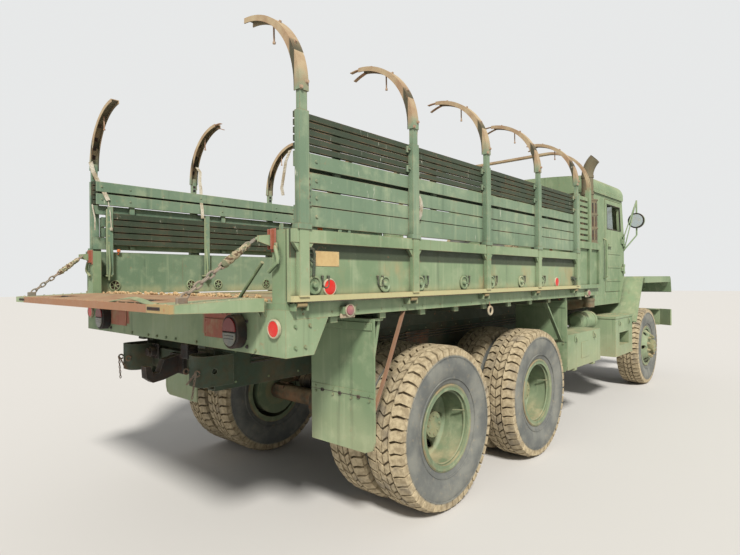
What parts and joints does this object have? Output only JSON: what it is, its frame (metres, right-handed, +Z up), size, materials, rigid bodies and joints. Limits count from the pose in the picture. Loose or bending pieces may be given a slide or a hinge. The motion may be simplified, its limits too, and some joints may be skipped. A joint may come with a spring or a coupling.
{
  "type": "military cargo truck",
  "caption": "Six-by-six military cargo truck with drop sides, slatted racks, bow ends, open tailgate, hinged doors and hood, and steered front wheels.",
  "frame": {"origin": "on the ground below the middle of the whole truck", "axes": "+X forward, +Y to the driver's left, +Z up"},
  "size_m": [8.195, 2.562, 2.8791],
  "materials": {
    "olive_paint": "faded matt",
    "chassis_paint": "dusty matt",
    "worn_steel": "rusty",
    "rusty_steel": "heat stained",
    "cast_iron": "matt",
    "tyre_rubber": "dusty",
    "flap_rubber": "dusty",
    "rack_wood": "painted",
    "window_glass": "dusty",
    "seat_cover": "worn",
    "lamp_lens": "moulded"
  },
  "bodies": {
    "chassis": {"frame_rails": "chassis_paint", "pintle_hook": "worn_steel", "front_bumper": "olive_paint", "leaf_springs": "chassis_paint", "front_axle": "chassis_paint", "rear_axles": "chassis_paint", "engine": "cast_iron", "driveline": "chassis_paint", "exhaust": "rusty_steel", "tanks": "olive_paint", "tool_boxes": "olive_paint", "cab_steps": "olive_paint", "spare_wheel": "tyre_rubber", "bed_floor": "olive_paint", "bed_front": "olive_paint", "rear_sill": "olive_paint", "lamps": "lamp_lens", "mudflaps": "flap_rubber", "cab_shell": "olive_paint", "cab_roof": "olive_paint", "cab_glass": "window_glass", "cab_seats": "seat_cover", "dashboard": "olive_paint", "fenders": "olive_paint", "mirrors": "olive_paint", "hood_hinges": "chassis_paint"},
    "hood": {"hood": "olive_paint", "grille": "olive_paint"},
    "tailgate": {"tailgate": "olive_paint", "gate_chains": "worn_steel"},
    "toolbox_door": {"toolbox_door": "olive_paint"},
    "tie_rod": {"tie_rod": "chassis_paint"},
    "door_left": {"door_left": "olive_paint"},
    "dropside_left": {"dropside_left": "olive_paint", "rack_left": "rack_wood"},
    "steering_left": {"knuckle_left": "chassis_paint"},
    "wheel_front_left": {"tyre_front_left": "tyre_rubber", "rim_front_left": "olive_paint"},
    "wheel_mid_left": {"tyres_mid_left": "tyre_rubber", "rims_mid_left": "olive_paint"},
    "wheel_rear_left": {"tyres_rear_left": "tyre_rubber", "rims_rear_left": "olive_paint"},
    "door_right": {"door_right": "olive_paint"},
    "dropside_right": {"dropside_right": "olive_paint", "rack_right": "rack_wood"},
    "steering_right": {"knuckle_right": "chassis_paint"},
    "wheel_front_right": {"tyre_front_right": "tyre_rubber", "rim_front_right": "olive_paint"},
    "wheel_mid_right": {"tyres_mid_right": "tyre_rubber", "rims_mid_right": "olive_paint"},
    "wheel_rear_right": {"tyres_rear_right": "tyre_rubber", "rims_rear_right": "olive_paint"}
  },
  "joints": [
    {"name": "hood_hinge", "type": "hinge", "parent": "chassis", "child": "hood", "pos_m": [3.8475, 0, 1.13], "axis": [0, 1, 0], "range_deg": [0, 60]},
    {"name": "tailgate_hinge", "type": "hinge", "parent": "chassis", "child": "tailgate", "pos_m": [-3.6175, 0, 1.4], "axis": [0, 1, 0], "range_deg": [0, 90]},
    {"name": "toolbox_door_hinge", "type": "hinge", "parent": "chassis", "child": "toolbox_door", "pos_m": [0.275, -1.177, 0.606], "axis": [1, 0, 0], "range_deg": [0, 95]},
    {"name": "door_left_hinge", "type": "hinge", "parent": "chassis", "child": "door_left", "pos_m": [2.1985, 1.016, 1.8], "axis": [0, 0, -1], "range_deg": [0, 70]},
    {"name": "dropside_left_hinge", "type": "hinge", "parent": "chassis", "child": "dropside_left", "pos_m": [-1.4925, 1.245, 1.395], "axis": [-1, 0, 0], "range_deg": [0, 90]},
    {"name": "steer_left", "type": "hinge", "parent": "chassis", "child": "steering_left", "pos_m": [2.9805, 0.8, 0.535], "axis": [0, 0, 1], "range_deg": [-28, 28]},
    {"name": "spin_front_left", "type": "hinge", "parent": "steering_left", "child": "wheel_front_left", "pos_m": [2.9805, 0.965, 0.535], "axis": [0, 1, 0], "continuous": true},
    {"name": "spin_mid_left", "type": "hinge", "parent": "chassis", "child": "wheel_mid_left", "pos_m": [-0.8805, 0.915, 0.535], "axis": [0, 1, 0], "continuous": true},
    {"name": "spin_rear_left", "type": "hinge", "parent": "chassis", "child": "wheel_rear_left", "pos_m": [-2.2525, 0.915, 0.535], "axis": [0, 1, 0], "continuous": true},
    {"name": "door_right_hinge", "type": "hinge", "parent": "chassis", "child": "door_right", "pos_m": [2.1985, -1.016, 1.8], "axis": [0, 0, 1], "range_deg": [0, 70]},
    {"name": "dropside_right_hinge", "type": "hinge", "parent": "chassis", "child": "dropside_right", "pos_m": [-1.4925, -1.245, 1.395], "axis": [1, 0, 0], "range_deg": [0, 90]},
    {"name": "steer_right", "type": "hinge", "parent": "chassis", "child": "steering_right", "pos_m": [2.9805, -0.8, 0.535], "axis": [0, 0, 1], "range_deg": [-28, 28]},
    {"name": "spin_front_right", "type": "hinge", "parent": "steering_right", "child": "wheel_front_right", "pos_m": [2.9805, -0.965, 0.535], "axis": [0, 1, 0], "continuous": true},
    {"name": "spin_mid_right", "type": "hinge", "parent": "chassis", "child": "wheel_mid_right", "pos_m": [-0.8805, -0.915, 0.535], "axis": [0, 1, 0], "continuous": true},
    {"name": "spin_rear_right", "type": "hinge", "parent": "chassis", "child": "wheel_rear_right", "pos_m": [-2.2525, -0.915, 0.535], "axis": [0, 1, 0], "continuous": true},
    {"name": "tie_rod_slide", "type": "slide", "parent": "chassis", "child": "tie_rod", "axis": [0, 1, 0], "range_m": [-0.1, 0.1]}
  ],
  "couplings": [
    {"joint": "steer_right", "follows": "steer_left", "ratio": 1},
    {"joint": "tie_rod_slide", "follows": "steer_left", "m_per_rad": -0.2}
  ]
}
